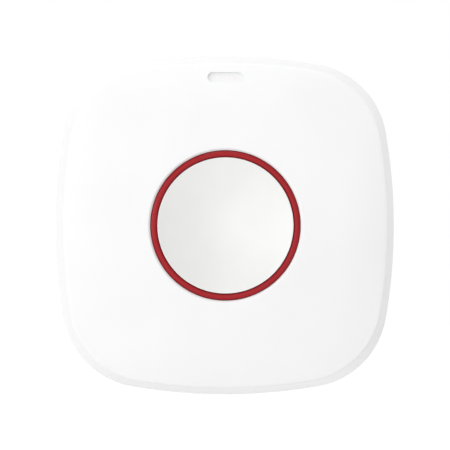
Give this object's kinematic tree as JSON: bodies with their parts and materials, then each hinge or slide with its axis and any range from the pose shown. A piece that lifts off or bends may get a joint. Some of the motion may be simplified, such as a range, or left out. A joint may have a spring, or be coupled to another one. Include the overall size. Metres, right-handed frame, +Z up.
{
  "type": "wireless panic button",
  "caption": "Rounded-square wall unit with a round dished push button in a red light ring, a slim status window above it, a clip-on back plate and a tamper pin.",
  "frame": {"origin": "centre of the back face, on the wall plane, behind the middle of the button", "axes": "+Y points into the wall and -Y is the way the button faces; +Z is up, toward the status window; +X is right as seen from the front"},
  "size_m": [0.065, 0.0191, 0.065],
  "materials": {
    "housing_plastic": "moulded white ABS, satin",
    "rear_plastic": "moulded white ABS, fine matt grain",
    "ring_plastic": "red translucent polycarbonate",
    "window_plastic": "milky polycarbonate light pipe",
    "cap_plastic": "silver-grey satin lacquer on ABS",
    "milky_plastic": "natural acetal, lets the ring lamps through",
    "black_plastic": "moulded black nylon",
    "plunger_plastic": "dark moulded plunger",
    "pin_plastic": "natural acetal",
    "spring_steel": "bright spring steel",
    "sheet_steel": "tin-plated sheet",
    "screw_steel": "zinc-plated steel",
    "cell_steel": "nickel-plated can",
    "board_laminate": "green solder mask on glass-epoxy board",
    "radio_laminate": "blue solder mask on glass-epoxy board",
    "lamp_plastic": "clear resin on a white base",
    "chip_plastic": "moulded epoxy",
    "capacitor_ceramic": "fired ceramic with tinned ends",
    "resistor_ceramic": "coated ceramic with tinned ends"
  },
  "bodies": {
    "housing": {"front_cover": "housing_plastic", "rear_cover": "rear_plastic", "ring_light": "ring_plastic", "status_lens": "window_plastic", "button_frame": "black_plastic", "return_spring": "spring_steel", "circuit_board": "board_laminate", "board_screws": "screw_steel", "switch_body": "black_plastic", "switch_cover": "sheet_steel", "switch_pins": "sheet_steel", "ring_leds": "lamp_plastic", "status_led": "lamp_plastic", "coin_cell": "cell_steel", "battery_holder": "black_plastic", "positive_clip": "spring_steel", "negative_contact": "spring_steel", "tamper_leaf": "spring_steel", "radio_module": "radio_laminate", "radio_shield": "sheet_steel", "controller_chip": "chip_plastic", "crystal": "sheet_steel", "chip_capacitors": "capacitor_ceramic", "chip_resistors": "resistor_ceramic", "antenna": "sheet_steel"},
    "button": {"button_cap": "cap_plastic", "button_carrier": "milky_plastic"},
    "plunger": {"switch_plunger": "plunger_plastic"},
    "tamper": {"tamper_pin": "pin_plastic"}
  },
  "joints": [
    {"name": "button_press", "type": "slide", "parent": "housing", "child": "button", "axis": [0, 1, 0], "range_m": [0, 0.0009], "stiffness_N_per_m": 2500, "springref_m": -0.0004, "deforming": ["return_spring"]},
    {"name": "switch_press", "type": "slide", "parent": "housing", "child": "plunger", "axis": [0, 1, 0], "range_m": [0, 0.0009]},
    {"name": "tamper_release", "type": "slide", "parent": "housing", "child": "tamper", "axis": [0, 1, 0], "range_m": [0, 0.0011], "stiffness_N_per_m": 300, "deforming": ["tamper_leaf"]}
  ],
  "couplings": [
    {"joint": "switch_press", "follows": "button_press", "ratio": 1}
  ]
}
